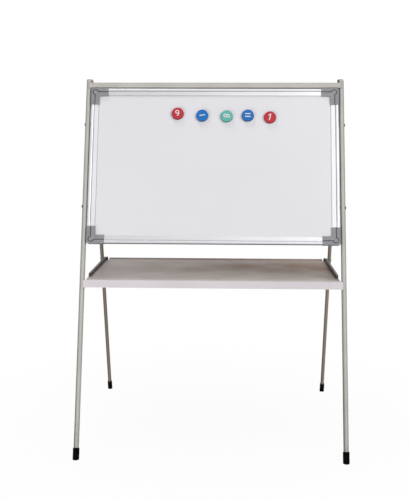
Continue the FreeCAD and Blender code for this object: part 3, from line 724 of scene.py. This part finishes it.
# %% The five signs
def stand_sign(name, sign, magnet, degrees):
    """Stand a flat sign on the front face of a magnet's cap."""
    cap = "magnet_cap_" + magnet
    across = sum(reach(cap, right)) / 2
    height = sum(reach(cap, up)) / 2
    face = reach(cap, out)[1]
    middle = right * across + up * height + out * (face + stroke_height / 2 - stroke_sink)
    turn = Matrix.Rotation(math.radians(degrees), 4, "Z")
    bmesh.ops.transform(sign, matrix=Matrix.Translation(middle) @ board_axes @ turn, verts=sign.verts[:])
    piece = new_piece(name, sign, "sign_white", "magnet_" + magnet)
    rounding = piece.modifiers.new("soft edges", "BEVEL")
    rounding.width = stroke_edge
    rounding.segments = 2
    rounding.limit_method = "ANGLE"


nine = bmesh.new()
add_ring(nine, 0.0049, turned(0, 0.0044, 0))
add_arc(nine, 0.013, -72, turned(-0.0081, 0.0044, 0))
stand_sign("sign_nine", nine, "red_left", 17)

minus = bmesh.new()
add_bar(minus, 0.0178, turned(0, 0, 0))
stand_sign("sign_minus", minus, "blue_left", 9)

eight = bmesh.new()
add_ring(eight, 0.0043, turned(0.005, 0, 0))
add_ring(eight, 0.0043, turned(-0.005, 0, 0))
stand_sign("sign_eight", eight, "green", -8)

equals = bmesh.new()
add_bar(equals, 0.018, turned(0, 0.0047, 0))
add_bar(equals, 0.018, turned(0, -0.0047, 0))
stand_sign("sign_equals", equals, "blue_right", 0)

one = bmesh.new()
add_bar(one, 0.022, turned(0, 0, 90))
add_bar(one, 0.0085, turned(-0.0034, 0.0066, 42))
stand_sign("sign_one", one, "red_right", -15)

# %% [markdown]
# A grey rubber strip fills the narrow gap between the board and each post and stands for the shade in that
# gap: a painted shade. It is a long cube with its edges rounded, set in front of the bolts that hold the board.

# %% Shade strips beside the board
strip_depth = 0.0027
strip_front = 0.008
strip_room = 0.00015
strip_edge = 0.0003
for side, sign in sides:
    cap_low, cap_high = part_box("corner_cap_top_" + side)
    leg_low, leg_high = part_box("front_leg_" + side)
    board_edge = max(abs(cap_low.x), abs(cap_high.x)) + strip_room
    post_edge = min(abs(leg_low.x), abs(leg_high.x)) - strip_room
    strip_foot = reach("corner_cap_bottom_" + side, up)[0]
    strip_head = reach("corner_cap_top_" + side, up)[1]
    strip = bmesh.new()
    bmesh.ops.create_cube(strip, size=1.0)
    strip_size = (post_edge - board_edge, strip_head - strip_foot, strip_depth)
    bmesh.ops.scale(strip, vec=strip_size, verts=strip.verts[:])
    bmesh.ops.bevel(strip, geom=strip.edges[:], offset=strip_edge, segments=2, profile=0.5,
                    affect="EDGES", material=-1)
    across = sign * (post_edge + board_edge) / 2
    height = (strip_head + strip_foot) / 2
    outward = sum(reach("front_leg_" + side, out)) / 2 + strip_front - strip_depth / 2
    middle = right * across + up * height + out * outward
    bmesh.ops.transform(strip, matrix=Matrix.Translation(middle) @ board_axes, verts=strip.verts[:])
    # Painted shade: a grey strip placed where the gap beside the board is in shade.
    piece = new_piece("gap_shade_strip_" + side, strip, "gap_shade_rubber", "front_frame")

# %% [markdown]
# The frame is welded. A weld is a row of small pools of metal, each laid over the last, under the same
# paint as the tubes. A bead could be a smooth tube, but the ripples are what the eye looks for, so it is a
# row of balls along the seam, half sunk in the steel and a little uneven in size.

# %% Beads along seams
def weld(name, seams, size, finish, body):
    """Lay a row of overlapping lumps along each seam, which is a list of points."""
    mesh = bmesh.new()
    for row, seam in enumerate(seams):
        for step, point in enumerate(seam):
            swell = 1 + 0.2 * math.sin(2.4 * step + 1.7 * row)
            bmesh.ops.create_icosphere(mesh, subdivisions=2, radius=size * swell,
                                       matrix=Matrix.Translation(point))
    piece = new_piece(name, mesh, finish, body)


def stops(low, high, spacing):
    """Even places from low to high, about this far apart."""
    count = max(2, round((high - low) / spacing) + 1)
    return [low + (high - low) * step / (count - 1) for step in range(count)]


bead_size = 0.0017
bead_spacing = 0.0016
lug_bead_size = 0.0014
tie_bead_size = 0.0013
stitch_bead_size = 0.0012
print("beads are laid", bead_spacing, "apart")

# %% [markdown]
# The flat-sided crossbar meets each round post along a curved seam. On the bar's top and bottom faces it
# follows the post's circle, and in front, where bar and post are level, it is a short upright line.

# %% Welds of the top crossbar
bar_low, bar_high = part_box("top_crossbar")
bar_middle = (bar_low + bar_high) / 2
bar_foot, bar_head = reach("top_crossbar", up)
bar_half = (bar_head - bar_foot) / 2
seam_inset = 0.0008
seam_depth = 0.0007
for side, sign in sides:
    leg_low, leg_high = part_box("front_leg_" + side)
    post_x = (leg_low.x + leg_high.x) / 2
    post_r = (leg_high.x - leg_low.x) / 2
    seams = []
    for face in (-bar_half, bar_half):
        seam = []
        for turn in stops(-math.pi / 2, math.pi / 2, bead_spacing / post_r):
            x = post_x - sign * post_r * math.cos(turn)
            on_axis = Vector((x, bar_middle.y, bar_middle.z))
            seam.append(on_axis + out * post_r * math.sin(turn) + up * face)
        seams.append(seam)
    front = Vector((post_x - sign * seam_inset, bar_middle.y, bar_middle.z))
    front += out * (post_r - seam_depth)
    seams.append([front + up * rise for rise in stops(-bar_half, bar_half, bead_spacing)])
    weld("crossbar_weld_" + side, seams, bead_size, "frame_paint", "front_frame")

# %% [markdown]
# A small plate on the back of each post carries the hinge bolt. Its outer side is welded to the post, on
# a straight seam where the flat plate leaves the round tube.

# %% Welds of the hinge lugs
lug_seam_half = 0.008
for side, sign in sides:
    leg_low, leg_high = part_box("front_leg_" + side)
    post_x = (leg_low.x + leg_high.x) / 2
    post_r = (leg_high.x - leg_low.x) / 2
    lug_low, lug_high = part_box("hinge_lug_" + side)
    outer_x = lug_high.x if sign > 0 else lug_low.x
    behind = math.sqrt(post_r ** 2 - (outer_x - post_x) ** 2)
    start = Vector((outer_x, bar_middle.y, bar_middle.z)) - out * behind
    seam = [start + up * rise for rise in stops(-lug_seam_half, lug_seam_half, bead_spacing)]
    weld("lug_weld_" + side, [seam], lug_bead_size, "frame_paint", "front_frame")

# %% [markdown]
# The tie bar between the rear legs is a tube of the legs' own size, so the seam round its end is a saddle:
# the further a point is from the leg's middle, the nearer it comes to the leg's axis. The hinge and the
# tie bar's middle give the direction of the legs.

# %% Welds of the rear tie bar
hinge = next(joint for joint in frame["joints"] if joint["name"] == "rear_fold")
tie_low, tie_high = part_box("rear_crossbar")
tie_middle = (tie_low + tie_high) / 2
rear_up = (Vector(hinge["pos_m"]) - tie_middle).normalized()
rear_back = right.cross(rear_up)
for side, sign in sides:
    leg_low, leg_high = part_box("rear_leg_" + side)
    leg_x = (leg_low.x + leg_high.x) / 2
    leg_r = (leg_high.x - leg_low.x) / 2
    seam = []
    for turn in stops(0, 2 * math.pi, bead_spacing / leg_r):
        x = leg_x - sign * leg_r * abs(math.cos(turn))
        across = rear_back * leg_r * math.sin(turn) + rear_up * leg_r * math.cos(turn)
        seam.append(Vector((x, tie_middle.y, tie_middle.z)) + across)
    weld("tie_weld_" + side, [seam], tie_bead_size, "rear_paint", "rear_frame")

# %% [markdown]
# The ledges under the tray are held to the side bars by short stitches, which pull the thin steel less
# than one long bead would.

# %% Stitches of the ledges
stitch_length = 0.02
stitch_count = 4
for side, sign in sides:
    ledge_low, ledge_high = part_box("tray_ledge_" + side)
    seam_x = ledge_high.x if sign > 0 else ledge_low.x
    first_y = ledge_low.y + stitch_length
    last_y = ledge_high.y - stitch_length
    seams = []
    for middle_y in stops(first_y, last_y, (last_y - first_y) / (stitch_count - 1)):
        run = stops(middle_y - stitch_length / 2, middle_y + stitch_length / 2, bead_spacing)
        seams.append([Vector((seam_x, y, ledge_high.z)) for y in run])
    weld("ledge_weld_" + side, seams, stitch_bead_size, "bar_paint", "front_frame")

# %% [markdown]
# The easel stands on a plain pale floor. The picture's ground is white, so the camera and mirror-like
# surfaces see white there, while the floor still takes a soft shadow close to the feet and sends daylight
# up as any pale floor does. The share of white grows with the distance from the easel.

# %% Floor
floor_radius = 5.0
floor_drop = 0.0005
shadow_start = 0.2
shadow_reach = 1.1
least_white = 0.94


def seen_directly(tree):
    """1 for rays from the camera or a mirror-like or clear surface, and 0 for the light on the object."""
    path = tree.nodes.new("ShaderNodeLightPath").outputs
    mirror = calc(tree, "MAXIMUM", path["Is Glossy Ray"], path["Is Transmission Ray"])
    return calc(tree, "MAXIMUM", path["Is Camera Ray"], mirror)


disc = bmesh.new()
bmesh.ops.create_circle(disc, cap_ends=True, segments=96, radius=floor_radius)
bmesh.ops.translate(disc, vec=(0, 0, -floor_drop), verts=disc.verts[:])
floor_mesh = bpy.data.meshes.new("floor")
disc.to_mesh(floor_mesh)
disc.free()
floor = bpy.data.objects.new("floor", floor_mesh)
bpy.context.scene.collection.objects.link(floor)

floor_paint = bpy.data.materials.new("floor_paint")
floor_paint.use_nodes = True
tree = floor_paint.node_tree
tree.nodes.remove(tree.nodes["Principled BSDF"])
far = add(tree, "VectorMath")
far.operation = "LENGTH"
feed(tree, far.inputs[0], object_place(tree))
white_share = ranged(tree, far.outputs["Value"], shadow_start, shadow_reach, least_white, 1.0)
matt = add(tree, "BsdfDiffuse", Color=rgb(0.80, 0.80, 0.80))
white = add(tree, "Emission", Color=rgb(1, 1, 1), Strength=1.0)
both = add(tree, "MixShader")
feed(tree, both.inputs[0], calc(tree, "MULTIPLY", seen_directly(tree), white_share))
feed(tree, both.inputs[1], matt.outputs[0])
feed(tree, both.inputs[2], white.outputs[0])
feed(tree, tree.nodes["Material Output"].inputs["Surface"], both.outputs[0])
floor_mesh.materials.append(floor_paint)
print("floor of", floor_radius, "m radius")

# %% [markdown]
# The room gives a dim grey light from all sides, which keeps shaded faces from going black. What the
# camera sees of the room is white, as the floor is, and the object gets no more light from that.

# %% Room light
room_strength = 0.30
room = bpy.data.worlds.new("room")
bpy.context.scene.world = room
room.use_nodes = True
tree = room.node_tree
grey = tree.nodes["Background"]
grey.inputs["Color"].default_value = rgb(1, 1, 1)
grey.inputs["Strength"].default_value = room_strength
white = add(tree, "Background", Color=rgb(1, 1, 1), Strength=1.0)
both = add(tree, "MixShader")
feed(tree, both.inputs[0], seen_directly(tree))
feed(tree, both.inputs[1], grey.outputs[0])
feed(tree, both.inputs[2], white.outputs[0])
feed(tree, tree.nodes["World Output"].inputs["Surface"], both.outputs[0])
print("room light set")

# %% [markdown]
# The lamps are a plain studio set: two large soft ones in front and a small one overhead. The strong key
# lamp stands high on the right, so the tubes turn darker to the left, and the weak fill lamp stands low on
# the left. A bare point of light would cut hard shadows, while a large area lamp softens them.

# %% Lamps
lamp_target = Vector((0.0, -0.1, 0.75))


def soft_lamp(name, place, size, watts):
    """A square area lamp that points at the easel's middle."""
    data = bpy.data.lights.new(name, "AREA")
    data.size = size
    data.energy = watts
    lamp = bpy.data.objects.new(name, data)
    bpy.context.scene.collection.objects.link(lamp)
    lamp.location = place
    lamp.rotation_euler = (lamp_target - Vector(place)).to_track_quat("-Z", "Y").to_euler()


soft_lamp("key_lamp", (2.2, -2.5, 2.4), size=1.8, watts=65.0)
soft_lamp("fill_lamp", (-1.6, -1.7, 0.35), size=1.3, watts=19.0)
soft_lamp("top_lamp", (-0.6, -0.05, 3.2), size=0.5, watts=15.0)
print("three lamps set")

# %% [markdown]
# The camera repeats the photograph's view: a long lens at chest height, a little right of the middle and
# tipped down. Its place and turn come from matching the corners of the board, tray and feet. The focal
# length is known in picture elements, and the sensor's height turns it into millimetres.

# %% Camera
picture_height = 499
focal_elements = 855.8
sensor_height = 36.0
camera_place = Vector((0.0670, -2.8259, 1.0202))
camera_yaw = math.radians(-1.993)
camera_pitch = math.radians(8.495)
camera_roll = math.radians(0.12)

lens = bpy.data.cameras.new("camera")
lens.sensor_fit = "VERTICAL"
lens.sensor_height = sensor_height
lens.lens = focal_elements * sensor_height / picture_height
camera = bpy.data.objects.new("camera", lens)
bpy.context.scene.collection.objects.link(camera)
aim = Matrix.Rotation(-camera_yaw, 4, "Z") @ Matrix.Rotation(math.pi / 2 - camera_pitch, 4, "X")
camera.matrix_world = Matrix.Translation(camera_place) @ aim @ Matrix.Rotation(camera_roll, 4, "Z")
bpy.context.scene.camera = camera
bpy.context.scene.view_settings.view_transform = "Standard"
print("camera lens", round(lens.lens, 1), "mm")

# %% [markdown]
# Dressing a part mustn't change its size.

# %% Update the scene
bpy.context.view_layer.update()
